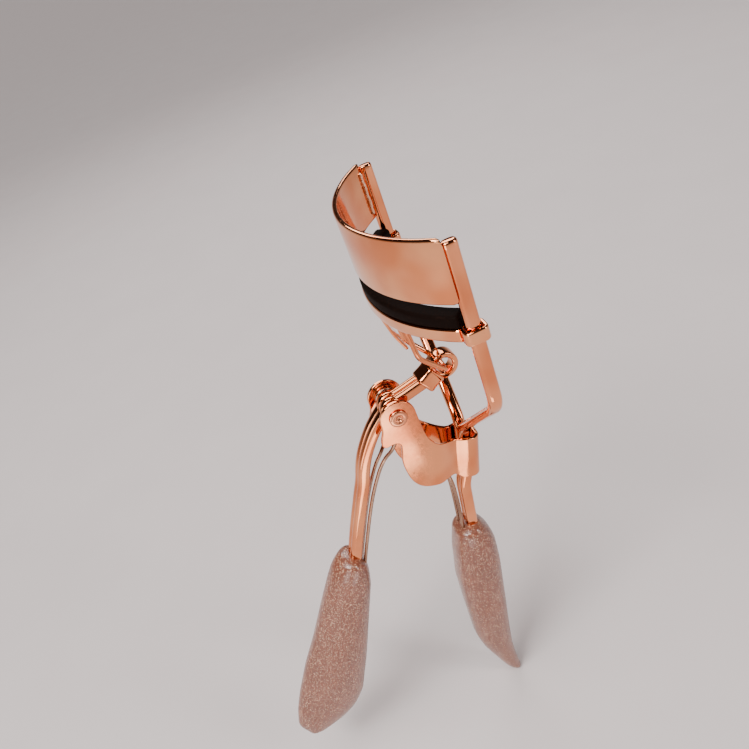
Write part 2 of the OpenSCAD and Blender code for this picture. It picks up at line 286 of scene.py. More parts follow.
# ---------------------------------------------------------------------------
# Braze. A rippled bead of brazing metal, left duller than the plating, fills
# the corner between each rod and the back of the upper jaw.
# ---------------------------------------------------------------------------
BEAD_X = 15.98
BEAD_Y = -1.28
BEAD_START = 0.9
BEAD_STEP = 0.3
BEAD_STEPS = 24
braze_finish = plated("braze_bead", (0.86, 0.52, 0.34), (0.66, 0.36, 0.22), 0.22, 0.42, 0.3)
beads = []
for side in (1, -1):
    bead = [
        Vector((side * BEAD_X, BEAD_Y + 0.05 * math.sin(2.6 * z), PLATE_Z + z))
        for z in [BEAD_START + BEAD_STEP * k for k in range(BEAD_STEPS)]
    ]
    beads.append(drawn(
        bead, oblong(0.66, 0.6, 0.28), (0, 1, 0), (0.2, 0.2, 0.5), 0.15,
        lambda f: (1 + 0.09 * math.sin(70 * f), 1 + 0.09 * math.cos(61 * f))
    ))
piece("braze_beads", beads, "frame", ["plate_braze"], braze_finish)

# ---------------------------------------------------------------------------
# Pivot clip. One flat blank of thin plated sheet, folded round the back of
# the two rods below the point where they meet, and spread into two cheeks. The
# cheeks' round ears carry the rivet, and a small lug below each is the stop.
# ---------------------------------------------------------------------------
PIVOT = (-11.35, -4.4)
EAR_R = 2.85
SHEET_T = 0.6
RIVET_HOLE_R = 1.0
EDGE_ROUND = 0.16
FOLD_R = 0.7
BARREL_TOP = (-1.95, -15.0)
BARREL_TILT = math.radians(12.7)
CHEEK_EDGE = [
    (-8.45, -9.0), (-8.0, -11.1), (-7.0, -12.6), (-5.6, -13.6), (-3.6, -14.4), (-2.4, -14.72)
]
CHEEK_FOOT = [
    (-3.7, -22.45), (-5.0, -22.0), (-5.7, -20.9), (-7.2, -20.4), (-9.0, -20.3), (-11.4, -19.4),
    (-12.7, -17.7), (-13.2, -15.6), (-13.3, -12.6), (-12.6, -10.4), (-12.4, -9.2), (-13.3, -8.6),
    (-14.7, -8.9), (-15.3, -8.2), (-14.9, -6.9), (-14.4, -6.0)
]
FOLD_PLAN = [
    (0, 1.75), (1.5, 1.75), (2.35, 0.85), (2.35, -0.75), (1.8, -1.9), (1.85, -2.7), (3.2, -5.4),
    (3.2, -16.5)
]


def barrel_view(y, z):
    """A point of the side view, turned so that the clip's barrel stands upright."""
    dy, dz = y - BARREL_TOP[0], z - BARREL_TOP[1]
    c, s = math.cos(BARREL_TILT), math.sin(BARREL_TILT)
    return dy * c - dz * s, dy * s + dz * c


fold = rounded_corners([Vector((x, v, 0)) for x, v in FOLD_PLAN], FOLD_R, 6)
fold_length = lengths(fold)


def blank_point(y, z):
    """Where a point of the side view lies on the flat blank."""
    v, w = barrel_view(y, z)
    for i in range(1, len(fold)):
        if fold[i].y <= v and fold[i - 1].y > v:
            t = (fold[i - 1].y - v) / (fold[i - 1].y - fold[i].y)
            return Vector((fold_length[i - 1] + t * (fold_length[i] - fold_length[i - 1]), w))
    return Vector((fold_length[1], w))


def folded(s, w, off):
    """A point of the blank after folding, off mm out from the middle of the sheet."""
    hand = 1 if s >= 0 else -1
    here = point_at(fold, fold_length, abs(s))
    ahead = point_at(fold, fold_length, abs(s) + 0.1)
    behind = point_at(fold, fold_length, max(abs(s) - 0.1, 0))
    along = (ahead - behind).normalized()
    x, v = here.x - along.y * off, here.y + along.x * off
    c, sn = math.cos(BARREL_TILT), math.sin(BARREL_TILT)
    return Vector((hand * x, BARREL_TOP[0] + v * c + w * sn, BARREL_TOP[1] - v * sn + w * c))


def evenly(loop, spacing):
    """A closed loop of flat points, spaced evenly."""
    ring = [Vector((p.x, p.y, 0)) for p in loop] + [Vector((loop[0].x, loop[0].y, 0))]
    total = lengths(ring)
    count = int(total[-1] / spacing)
    spaced = [point_at(ring, total, total[-1] * k / count) for k in range(count)]
    return [Vector((p.x, p.y)) for p in spaced]


def softened(loop, rounds=2):
    """A closed loop with its corners cut off, again and again."""
    for _ in range(rounds):
        loop = [
            p for a, b in zip(loop, loop[1:] + loop[:1]) for p in (a.lerp(b, 0.25), a.lerp(b, 0.75))
        ]
    return loop


def inside(p, loop):
    """Whether a flat point lies inside a closed loop."""
    hit = False
    for a, b in zip(loop, loop[1:] + loop[:1]):
        if (a.y > p.y) != (b.y > p.y) and p.x < (b.x - a.x) * (p.y - a.y) / (b.y - a.y) + a.x:
            hit = not hit
    return hit


ear = [
    (PIVOT[0] + EAR_R * math.cos(math.radians(a)), PIVOT[1] + EAR_R * math.sin(math.radians(a)))
    for a in range(188, -12, -8)
]
barrel_top_w = -0.05
barrel_foot_w = -7.75
half = [Vector((s, barrel_foot_w)) for s in (0.0, 1.2)] + [Vector((2.4, barrel_foot_w + 0.03))]
half += [blank_point(y, z) for y, z in CHEEK_FOOT + ear + CHEEK_EDGE]
half += [Vector((s, barrel_top_w)) for s in (2.0, 0.8, 0.0)]
outline = half + [Vector((-p.x, p.y)) for p in reversed(half[1:-1])]
EDGE_STEP = 0.35
outline = evenly(softened(outline, 3), EDGE_STEP)
hole_at = blank_point(*PIVOT)
hole_ring = [
    RIVET_HOLE_R * Vector((math.cos(a), math.sin(a)))
    for a in [2 * math.pi * k / 24 for k in range(24)]
]
holes = [[Vector((side * hole_at.x, hole_at.y)) + p for p in hole_ring] for side in (1, -1)]
edge_points = outline + holes[0] + holes[1]
flat = list(edge_points)
half_length = max(p.x for p in outline)
low_w, high_w = min(p.y for p in outline), max(p.y for p in outline)
GRID = 0.55
GRID_CLEAR = 0.3
for i in range(int(-half_length / GRID), int(half_length / GRID) + 1):
    for j in range(int(low_w / GRID) - 1, int(high_w / GRID) + 2):
        p = Vector((i * GRID, j * GRID))
        clear = min((p - q).length for q in edge_points)
        if clear > GRID_CLEAR and inside(p, outline) and not any(inside(p, h) for h in holes):
            flat.append(p)
edges, start = [], 0
for count in (len(outline), len(holes[0]), len(holes[1])):
    edges += [(start + k, start + (k + 1) % count) for k in range(count)]
    start += count
cut, cut_edges, cut_faces, *_ = delaunay_2d_cdt(flat, edges, [], 0, 1e-5)
kept = []
for f in cut_faces:
    middle = sum((cut[i] for i in f), Vector((0, 0))) / len(f)
    if inside(middle, outline) and not any(inside(middle, h) for h in holes):
        kept.append(f)
used = {}
for f in kept:
    for a, b in zip(f, f[1:] + f[:1]):
        used[(a, b)] = used.get((a, b), 0) + 1
rim = [(a, b) for (a, b) in used if (b, a) not in used]
clip_verts = []
for off in (SHEET_T / 2, -SHEET_T / 2):
    clip_verts += [folded(p.x, p.y, off) for p in cut]
n = len(cut)
clip_faces = [tuple(f) for f in kept] + [tuple(i + n for i in reversed(f)) for f in kept]
clip_faces += [(b, a, a + n, b + n) for a, b in rim]
clip_plating = plated("clip_copper", (0.88, 0.34, 0.15), (0.70, 0.20, 0.08), 0.07, 0.14, 0.03)
clip = piece(
    "pivot_clip_folded", [(clip_verts, clip_faces)], "frame", ["pivot_clip"], clip_plating,
)
broken_edge = clip.modifiers.new("broken_edge", "BEVEL")
broken_edge.width = EDGE_ROUND * 0.001
broken_edge.segments = 3
broken_edge.limit_method = "ANGLE"
broken_edge.angle_limit = math.radians(60)

# ---------------------------------------------------------------------------
# Pivot rivet. A tubular rivet through both cheeks and the lever. Its right end
# is rolled over into a rim with a hollow, and its left end is a plain dome.
# ---------------------------------------------------------------------------
CHEEK_FACE_X = 3.5
SHANK_R = 0.98


def turned(profile, middle, steps=40, closed=True):
    """A shape turned about an axis along X through middle, from (x, radius) points."""
    verts = []
    for k in range(steps):
        a = 2 * math.pi * k / steps
        verts += [Vector((x, middle[0] + r * math.cos(a), middle[1] + r * math.sin(a)))
                  for x, r in profile]
    m = len(profile)
    span = m if closed else m - 1
    faces = []
    for k in range(steps):
        for i in range(span):
            j = (i + 1) % m
            a, b = k * m, ((k + 1) % steps) * m
            faces.append((a + i, a + j, b + j, b + i))
    if not closed:
        faces += [tuple(k * m for k in range(steps)), tuple(k * m + m - 1 for k in range(steps))]
    return verts, faces


rim_turn = [math.radians(a) for a in range(-80, 200, 20)]
dome = [(-3.95, 0.02), (-3.95, 0.6), (-3.9, 1.05), (-3.78, 1.34), (-3.62, 1.45)]
shank = [(-CHEEK_FACE_X, 1.4), (-CHEEK_FACE_X, SHANK_R), (CHEEK_FACE_X, SHANK_R)]
rim_roll = [(3.72 + 0.2 * math.sin(a), 1.0 + 0.44 * math.cos(a)) for a in rim_turn]
hollow = [(3.72, 0.5), (3.56, 0.38), (CHEEK_FACE_X, 0.02)]
rolled = dome + shank + rim_roll + hollow
rivet_plating = plated("rivet_copper", (0.90, 0.38, 0.20), (0.62, 0.22, 0.11), 0.10, 0.24, 0.05)
piece(
    "rolled_rivet", [turned(rolled, PIVOT, 40, False)], "frame", ["pivot_rivet"],
    rivet_plating
)

# ---------------------------------------------------------------------------
# Spring, the frame's half. Round spring wire with a turn about the rivet on
# each side of the lever, whose ends lie along the shanks and go on under the
# handle covers.
# ---------------------------------------------------------------------------
WIRE_R = 0.3
TURN_R = 1.5
TURN_SWEEP = 290
TURN_STEPS = 48
FRAME_TURN_X = 2.55
LEG_X = 1.0


def flowing(points, per=8):
    """A smooth curve through every point."""
    points = [Vector(p) for p in points]
    ghosts = [2 * points[0] - points[1], *points, 2 * points[-1] - points[-2]]
    path = []
    for a, b, c, d in zip(ghosts, ghosts[1:], ghosts[2:], ghosts[3:]):
        for k in range(per):
            t = k / per
            path.append(0.5 * (
                2 * b + (c - a) * t + (2 * a - 5 * b + 4 * c - d) * t ** 2
                + (3 * b - a - 3 * c + d) * t ** 3
            ))
    path.append(points[-1])
    return path


def spring_end(side, turn_x, last_angle, sweep, leg):
    """One turn about the rivet and the leg that leaves it."""
    path = []
    for k in range(TURN_STEPS + 1):
        a = math.radians(last_angle + sweep * (k / TURN_STEPS - 1))
        path.append(Vector((
            side * turn_x, PIVOT[0] + TURN_R * math.cos(a), PIVOT[1] + TURN_R * math.sin(a)
        )))
    tail = [path[-1], (side * turn_x, *leg[0])] + [(side * LEG_X, y, z) for y, z in leg[1:]]
    path += flowing(tail)[2:]
    ring = oblong(2 * WIRE_R, 2 * WIRE_R, WIRE_R - 0.001)
    return drawn(path, ring, (1, 0, 0), (0.1, 0.1, 0.1), 0.35)


spring_steel = plated("drawn_spring_wire", (0.42, 0.25, 0.17), (0.26, 0.15, 0.10), 0.16, 0.30, 0.1)
frame_leg = [
    (-10.6, -12.2), (-7.4, -20.2), (-6.75, -23), (-6.9, -27), (-7.55, -33.5), (-8.4, -40)
]
for side, hand in ((1, "right"), (-1, "left")):
    wire = spring_end(side, FRAME_TURN_X, 199, TURN_SWEEP, frame_leg)
    piece(
        f"spring_on_frame_{hand}", [wire], "frame", [f"spring_frame_{hand}"], spring_steel,
    )

# ---------------------------------------------------------------------------
# Fixed handle cover. A solid soft moulding of cloudy clear plastic full of
# fine glitter, pushed over the fixed shank. It curves out to a tusk-like tip.
# ---------------------------------------------------------------------------
COVER_HALF_W = 3.8
COVER_END_R = 1.1
COVER_SIDES = 36
HALF_WIDTH = [(0, 0.60), (1.2, 0.84), (4, 0.97), (10, 1), (22, 0.96), (32, 0.80), (40, 0.60),
              (44.6, 0.42)]


def reading(table, at):
    """The value at one place in a table of (place, value) pairs."""
    for (a, low), (b, high) in zip(table, table[1:]):
        if at <= b:
            return low + (high - low) * max(at - a, 0) / (b - a)
    return table[-1][1]


def cover(top, tilt, outward, inner, outer, fin=0.0):
    """A moulding lofted down its shank between an inner and an outer side line.

    fin is how much of its width the moulding loses towards its outer side.
    """
    first = max(inner[0][0], outer[0][0])
    last = min(inner[-1][0], outer[-1][0])
    stations = [first + 0.25 * k for k in range(4)]
    straight = last - first - 2 * COVER_END_R
    stations += [first + COVER_END_R + straight * k / 36 for k in range(37)]
    stations += [last - 0.25 * k for k in range(3, -1, -1)]
    c, s = math.cos(tilt), math.sin(tilt)
    verts, ring_size = [], COVER_SIDES
    for d in stations:
        low, high = reading(inner, d), reading(outer, d)
        near_end = min(d - first, last - d) / COVER_END_R
        close = 0.80 + 0.20 * math.sqrt(max(0.0, 1 - (1 - min(near_end, 1)) ** 2))
        middle, deep = (low + high) / 2, (high - low) / 2 * close
        wide = COVER_HALF_W * reading(HALF_WIDTH, d) * close
        for k in range(ring_size):
            a = 2 * math.pi * k / ring_size
            ca, sa = math.cos(a), math.sin(a)
            v = middle + deep * math.copysign(abs(sa) ** 0.8, sa)
            thin = 1 - fin * max(0.0, (v - middle) / max(deep, 1e-6)) ** 1.5
            x = wide * thin * math.copysign(abs(ca) ** 0.72, ca)
            v *= outward
            verts.append(Vector((x, top[0] + v * c - d * s, top[1] - v * s - d * c)))
    rings = len(stations)
    faces = [tuple(range(ring_size))[::-1]]
    faces.append(tuple((rings - 1) * ring_size + k for k in range(ring_size)))
    for i in range(rings - 1):
        for k in range(ring_size):
            m = (k + 1) % ring_size
            a, b = i * ring_size, (i + 1) * ring_size
            faces.append((a + k, a + m, b + m, b + k))
    return verts, faces


def glitter_plastic(name, body_colour, fleck_colour):
    """Cloudy clear plastic with flakes of glitter set in it at all angles."""
    finish = bpy.data.materials.new(name)
    finish.use_nodes = True
    finish.diffuse_color = (*body_colour, 1)
    nodes, links = finish.node_tree.nodes, finish.node_tree.links
    shader = nodes["Principled BSDF"]
    shader.inputs["Transmission Weight"].default_value = 0.30
    shader.inputs["IOR"].default_value = 1.46
    shader.inputs["Subsurface Weight"].default_value = 0.25
    shader.inputs["Subsurface Radius"].default_value = (1.0, 0.45, 0.35)
    shader.inputs["Subsurface Scale"].default_value = 0.002
    shader.inputs["Coat Weight"].default_value = 0.6
    shader.inputs["Coat Roughness"].default_value = 0.14
    where = nodes.new("ShaderNodeTexCoord")
    cloud = nodes.new("ShaderNodeTexNoise")
    cloud.inputs["Scale"].default_value = 260.0
    cloud.inputs["Detail"].default_value = 3.0
    links.new(where.outputs["Object"], cloud.inputs["Vector"])
    tint = nodes.new("ShaderNodeMix")
    tint.data_type = "RGBA"
    tint.inputs[6].default_value = (*[0.72 * c for c in body_colour], 1)
    tint.inputs[7].default_value = (*[min(1, 1.22 * c) for c in body_colour], 1)
    links.new(cloud.outputs["Fac"], tint.inputs[0])
    flakes = nodes.new("ShaderNodeTexVoronoi")
    flakes.inputs["Scale"].default_value = 6200.0
    links.new(where.outputs["Object"], flakes.inputs["Vector"])
    chance = nodes.new("ShaderNodeSeparateColor")
    links.new(flakes.outputs["Color"], chance.inputs[0])
    fleck = nodes.new("ShaderNodeMapRange")
    fleck.inputs["From Min"].default_value = 0.80
    fleck.inputs["From Max"].default_value = 0.90
    links.new(chance.outputs[0], fleck.inputs["Value"])
    sparkle = nodes.new("ShaderNodeMix")
    sparkle.data_type = "RGBA"
    links.new(fleck.outputs["Result"], sparkle.inputs[0])
    links.new(tint.outputs[2], sparkle.inputs[6])
    sparkle.inputs[7].default_value = (*fleck_colour, 1)
    links.new(sparkle.outputs[2], shader.inputs["Base Color"])
    gloss = nodes.new("ShaderNodeMapRange")
    gloss.inputs["To Min"].default_value = 0.38
    gloss.inputs["To Max"].default_value = 0.18
    links.new(fleck.outputs["Result"], gloss.inputs["Value"])
    links.new(gloss.outputs["Result"], shader.inputs["Roughness"])
    tilt = nodes.new("ShaderNodeBump")
    tilt.inputs["Strength"].default_value = 0.22
    tilt.inputs["Distance"].default_value = 0.0002
    links.new(chance.outputs[1], tilt.inputs["Height"])
    links.new(tilt.outputs["Normal"], shader.inputs["Normal"])
    return finish


cover_plastic = glitter_plastic("glitter_moulding", (0.27, 0.088, 0.050), (0.74, 0.43, 0.28))
tusk_inner = [
    (0.3, -1.8), (1.3, -3.2), (6, -3.9), (13, -4.3), (20, -3.8), (29.8, -2.9), (33.5, -1.9),
    (36.6, -0.5), (42.5, 2.2), (44.3, 3.8)
]
tusk_outer = [
    (0.3, 1.2), (2.2, 2.8), (4.8, 3.6), (10.2, 4.0), (27.7, 4.0), (35, 4.1), (40, 4.6),
    (43.7, 5.3), (44.3, 4.9)
]
piece(
    "tusk_cover", [cover((-5.75, -33.8), math.radians(7.5), 1, tusk_inner, tusk_outer)],
    "frame", ["fixed_handle_cover"], cover_plastic, 80, 1
)

# ---------------------------------------------------------------------------
# Lever rods. Two more lengths of the same rod, side by side, bent over the
# rivet. Each is flattened there to a drilled disc that turns on it, and the
# pair is also the shank of the moving handle.
# ---------------------------------------------------------------------------
LEVER_LINE = [
    (-4.4, -2.2), (-8.5, -3.1), (-11.7, -3.9), (-14.9, -6.5), (-17.4, -9.7), (-19.0, -12.6),
    (-20.2, -15.8), (-22.0, -19.6), (-26.2, -29.0), (-37.4, -56.8)
]
HUB_R = 2.1
HUB_IN_X = 0.02
HUB_OUT_X = 1.45
HUB_CHAMFER = 0.18
TURNING_R = 1.05
lever_plating = plated("lever_rose_gold", (0.88, 0.34, 0.15), (0.72, 0.22, 0.09), 0.06, 0.12, 0.02)
for side, hand in ((1, "right"), (-1, "left")):
    bent = flowing([(side * SHANK_X, y, z) for y, z in LEVER_LINE[:2]], 4)[:-1]
    bent += flowing([(side * SHANK_X, y, z) for y, z in LEVER_LINE[1:]], 10)
    section = oblong(ROD_W - 0.02, ROD_D, ROD_CORNER_R - 0.02)
    bar = drawn(bent, section, (0, -0.6, 0.8), (0.3, 0.3, 0.3))
    inner_x, outer_x = side * HUB_IN_X, side * HUB_OUT_X
    step = side * HUB_CHAMFER
    disc = [
        (inner_x, TURNING_R), (inner_x, HUB_R - HUB_CHAMFER), (inner_x + step, HUB_R),
        (outer_x - step, HUB_R), (outer_x, HUB_R - HUB_CHAMFER), (outer_x, TURNING_R)
    ]
    hub = turned(disc, PIVOT, 40)
    piece(
        f"lever_{hand}", [bar, hub], "lever", [f"lever_rod_{hand}"], lever_plating
    )

# ---------------------------------------------------------------------------
# Crimp block. A short thick plated collar, pressed onto the ends of the lever
# rods and onto the tail of the strip that makes the eye.
# ---------------------------------------------------------------------------
BLOCK = (-4.4, -2.2)
BLOCK_TILT = math.radians(30)
BLOCK_W = 3.6
BLOCK_H = 3.4
BLOCK_L = 2.9


def block_point(x, across, up):
    """A point of the block, from its middle and along its own edges."""
    c, s = math.cos(BLOCK_TILT), math.sin(BLOCK_TILT)
    return Vector((x, BLOCK[0] + across * c - up * s, BLOCK[1] + across * s + up * c))


block_line = [block_point(0, -BLOCK_L / 2 + BLOCK_L * k / 20, 0) for k in range(21)]
collar = drawn(
    block_line, oblong(BLOCK_W, BLOCK_H, 0.7, 6), (0, -math.sin(BLOCK_TILT), math.cos(BLOCK_TILT)),
    (0.35, 0.35, 0.4), 0.3, lambda f: (1 - 0.05 * math.sin(math.pi * f),) * 2
)
piece("crimp_collar", [collar], "lever", ["crimp_block"], lever_plating)

# ---------------------------------------------------------------------------
# Eye. A flat plated strip rolled almost into a full ring, through which the
# bail's bar passes. Its tail goes back into the crimp block.
# ---------------------------------------------------------------------------
EYE = (-1.7, -1.0)
EYE_OUTER_R = 2.25
EYE_HOLE_R = 1.3
EYE_W = 2.4
ROLL_START = 64
ROLL_STEP = 5.15
ROLL_STEPS = 60
STRIP_STEP = 0.3
strip_t = EYE_OUTER_R - EYE_HOLE_R - 0.05
mid_r = (EYE_OUTER_R + EYE_HOLE_R) / 2
away = math.atan2(BLOCK[1] - EYE[1], BLOCK[0] - EYE[0])
roll = [block_point(0, 0.5, 1.15)]
for k in range(ROLL_STEPS + 1):
    a = away - math.radians(ROLL_START + ROLL_STEP * k)
    roll.append(Vector((0, EYE[0] + mid_r * math.cos(a), EYE[1] + mid_r * math.sin(a))))


def rolled_strip(path, width, thick, edge):
    """A flat strip whose width lies along X, rolled along a path in the side view."""
    total = lengths(path)
    section = oblong(width, thick, edge)
    count = int(total[-1] / STRIP_STEP)
    verts = []
    for k in range(count + 1):
        s = total[-1] * k / count
        here = point_at(path, total, s)
        along = (point_at(path, total, s + 0.1) - point_at(path, total, s - 0.1)).normalized()
        out = Vector((1, 0, 0)).cross(along)
        ease = min(1.0, 0.86 + 0.14 * min(k, count - k))
        verts += [here + Vector((a * ease, 0, 0)) + out * (b * ease) for a, b in section]
    n = len(section)
    faces = [tuple(range(n))[::-1], tuple(count * n + k for k in range(n))]
    for i in range(count):
        for k in range(n):
            m = (k + 1) % n
            faces.append((i * n + k, i * n + m, (i + 1) * n + m, (i + 1) * n + k))
    return verts, faces


eye_strip = rolled_strip(roll, EYE_W, strip_t, 0.28)
piece("rolled_eye", [eye_strip], "lever", ["lever_eye"], lever_plating)

# ---------------------------------------------------------------------------
# Spring, the lever's half. The other end of the same wire, with its own turn
# about the rivet next to the lever's discs.
# ---------------------------------------------------------------------------
LEVER_TURN_X = 1.79
lever_leg = [
    (-13.4, -10.3), (-15.5, -12.6), (-17.4, -14.9), (-20.4, -20.1), (-24.6, -29.3), (-26.9, -35)
]
for side, hand in ((1, "right"), (-1, "left")):
    wire = spring_end(side, LEVER_TURN_X, -36, -TURN_SWEEP, lever_leg)
    piece(
        f"spring_on_lever_{hand}", [wire], "lever", [f"spring_lever_{hand}"], spring_steel,
    )

# ---------------------------------------------------------------------------
# Moving handle cover. The other moulding of the same glitter plastic, pushed
# over the moving shank. It spreads outwards into a thin fin.
# ---------------------------------------------------------------------------
fin_inner = [
    (0.4, -1.9), (2.0, -3.6), (6, -4.3), (25, -4.5), (34, -4.3), (38, -3.2), (41.5, -0.6),
    (43.8, 2.6), (44.4, 4.6)
]
fin_outer = [
    (0.4, 0.9), (2.0, 2.4), (5.4, 3.2), (11, 4.2), (19.5, 5.6), (26, 7.0), (33, 8.0),
    (38, 8.4), (42.4, 8.2), (44.4, 6.4)
]
piece(
    "finned_cover", [cover((-27.6, -28.5), math.radians(22), -1, fin_inner, fin_outer, 0.4)],
    "lever", ["moving_handle_cover"], cover_plastic, 80, 1
)

# ---------------------------------------------------------------------------
# Lower jaw. A narrow plated channel, open at the top and bent to the same
# curve as the upper jaw. It holds the pad.
# ---------------------------------------------------------------------------
JAW_Z = 11.95
CHANNEL_H = 2.0
CHANNEL_DEPTH = 3.0
CHANNEL_END_X = 15.6
WALL = 0.5
outer, inner = CHANNEL_DEPTH / 2, CHANNEL_DEPTH / 2 - WALL
up, floor_top = CHANNEL_H / 2, -CHANNEL_H / 2 + WALL
trough = [
    (outer, -up + 0.5), (outer, up - 0.14), (outer - 0.12, up), (inner + 0.1, up),
    (inner, up - 0.1), (inner, floor_top), (-inner, floor_top), (-inner, up - 0.1),
    (-inner - 0.1, up), (-outer + 0.12, up), (-outer, up - 0.14), (-outer, -up + 0.5),
    (-outer + 0.15, -up + 0.15), (-outer + 0.5, -up), (outer - 0.5, -up),
    (outer - 0.15, -up + 0.15)
]
channel_line = jaw_curve(JAW_R - outer, CHANNEL_END_X, JAW_Z + up)
channel = drawn(channel_line, trough, (0, 0, 1), (0.05, 0.05, 0.1), 0.5)
piece(
    "pad_channel", [channel], "lower_jaw", ["lower_jaw_channel"], plate_plating, 35
)

# ---------------------------------------------------------------------------
# Sliding loops. A closed band of plated sheet at each end of the lower jaw,
# brazed to the channel, which rides up and down its guide rod.
# ---------------------------------------------------------------------------
LOOP_WALL = 0.55
LOOP_W = 2 * 1.43
LOOP_D = 2 * 1.68
LOOP_CORNER_R = 0.6
LOOP_X = ROD_X - 0.08
for side, hand in ((1, "right"), (-1, "left")):
    ring = []
    for px, py in oblong(LOOP_W - LOOP_WALL, LOOP_D - LOOP_WALL, LOOP_CORNER_R, 5):
        ring.append(Vector((side * LOOP_X + px, py, JAW_Z + up)))
    ring_verts, ring_faces = [], []
    band = oblong(LOOP_WALL - 0.02, CHANNEL_H - 0.02, 0.24)
    m, n = len(ring), len(band)
    for i, here in enumerate(ring):
        along = (ring[(i + 1) % m] - ring[i - 1]).normalized()
        across = along.cross(Vector((0, 0, 1)))
        ring_verts += [here + across * a + Vector((0, 0, b)) for a, b in band]
    for i in range(m):
        for k in range(n):
            j, q = ((i + 1) % m) * n, (k + 1) % n
            ring_faces.append((i * n + k, i * n + q, j + q, j + k))
    piece(
        f"sliding_loop_{hand}", [(ring_verts, ring_faces)], "lower_jaw", [f"jaw_loop_{hand}"],
        plate_plating
    )

# ---------------------------------------------------------------------------
# Lash pad. A strip of soft black rubber whose foot is pushed into the
# channel. Its rounded head stands proud to press the lashes.
# ---------------------------------------------------------------------------
PAD_H = 3.9
PAD_HEAD_W = 2.5
PAD_HEAD_END_X = 15.85
PAD_FOOT_W = 1.96
PAD_FOOT_H = 1.7
PAD_FOOT_END_X = 15.15


def soft_rubber(name, colour):
    """Smooth dark rubber with a faint skin and dust caught in it."""
    finish = bpy.data.materials.new(name)
    finish.use_nodes = True
    finish.diffuse_color = (*colour, 1)
    nodes, links = finish.node_tree.nodes, finish.node_tree.links
    shader = nodes["Principled BSDF"]
    shader.inputs["Specular IOR Level"].default_value = 0.03
    where = nodes.new("ShaderNodeTexCoord")
    skin = nodes.new("ShaderNodeTexNoise")
    skin.inputs["Scale"].default_value = 1800.0
    skin.inputs["Detail"].default_value = 5.0
    links.new(where.outputs["Object"], skin.inputs["Vector"])
    dust = nodes.new("ShaderNodeMix")
    dust.data_type = "RGBA"
    dust.inputs[6].default_value = (*colour, 1)
    dust.inputs[7].default_value = (*[2.4 * c for c in colour], 1)
    speck = nodes.new("ShaderNodeMapRange")
    speck.inputs["From Min"].default_value = 0.55
    speck.inputs["From Max"].default_value = 0.8
    links.new(skin.outputs["Fac"], speck.inputs["Value"])
    links.new(speck.outputs["Result"], dust.inputs[0])
    links.new(dust.outputs[2], shader.inputs["Base Color"])
    gloss = nodes.new("ShaderNodeMapRange")
    gloss.inputs["To Min"].default_value = 0.5
    gloss.inputs["To Max"].default_value = 0.72
    links.new(skin.outputs["Fac"], gloss.inputs["Value"])
    links.new(gloss.outputs["Result"], shader.inputs["Roughness"])
    grain = nodes.new("ShaderNodeBump")
    grain.inputs["Strength"].default_value = 0.18
    grain.inputs["Distance"].default_value = 0.0001
    links.new(skin.outputs["Fac"], grain.inputs["Height"])
    links.new(grain.outputs["Normal"], shader.inputs["Normal"])
    return finish


pad_rubber = soft_rubber("pad_soft_rubber", (0.0060, 0.0028, 0.0020))
head_h = PAD_H - CHANNEL_H
head = drawn(
    jaw_curve(JAW_R - 1.35, PAD_HEAD_END_X, JAW_Z + CHANNEL_H + head_h / 2),
    oblong(PAD_HEAD_W, head_h, 0.5, 5), (0, 0, 1), (0.4, 0.3, 0.5), 0.5
)
foot = drawn(
    jaw_curve(JAW_R - 1.5, PAD_FOOT_END_X, JAW_Z + WALL + 0.8),
    oblong(PAD_FOOT_W, PAD_FOOT_H, 0.2), (0, 0, 1), (0.1, 0.1, 0.1), 0.5
)
piece("lash_pad", [head, foot], "lower_jaw", ["jaw_pad"], pad_rubber)

# ---------------------------------------------------------------------------
# Bail. A plated bent wire whose two arms hang from the lower jaw, brazed to
# it, and whose closed end passes through the lever's eye.
# ---------------------------------------------------------------------------
BAIL_R = 0.42
arm = [
    (3.2, -6.4, JAW_Z), (3.08, -5.75, 8.0), (3.05, -5.5, 4.9), (3.0, -5.35, 3.8),
    (2.85, -4.9, 2.8), (2.45, -3.55, 1.05), (2.1, -2.3, -0.6), (1.72, -1.88, -1.1),
    (1.2, -1.78, -1.25), (0.5, -1.78, -1.25)
]
bail_line = flowing(arm + [(-x, y, z) for x, y, z in reversed(arm)], 6)
bail_wire = drawn(
    bail_line, oblong(2 * BAIL_R, 2 * BAIL_R, BAIL_R - 0.001, 5), (0, 0.65, 0.75),
    (0.05, 0.05, 0.05), 0.3
)
piece("bail_wire", [bail_wire], "lower_jaw", ["jaw_bail"], rod_plating)

# ---------------------------------------------------------------------------
# Bail tongue. A strip of plated sheet, bent down from the front of the lower
# jaw's channel to brace the bail.
# ---------------------------------------------------------------------------
TONGUE_W = 5.2
TONGUE_T = 0.45
tongue_line = flowing([
    Vector((0, -8.25, JAW_Z - 0.05)), Vector((0, -7.9, 10.2)), Vector((0, -7.4, 8.2)),
    Vector((0, -6.8, 6.6)), Vector((0, -6.25, 5.2))
])
tongue = rolled_strip(tongue_line, TONGUE_W, TONGUE_T, 0.18)
piece("bail_tongue", [tongue], "lower_jaw", ["bail_foot"], plate_plating)

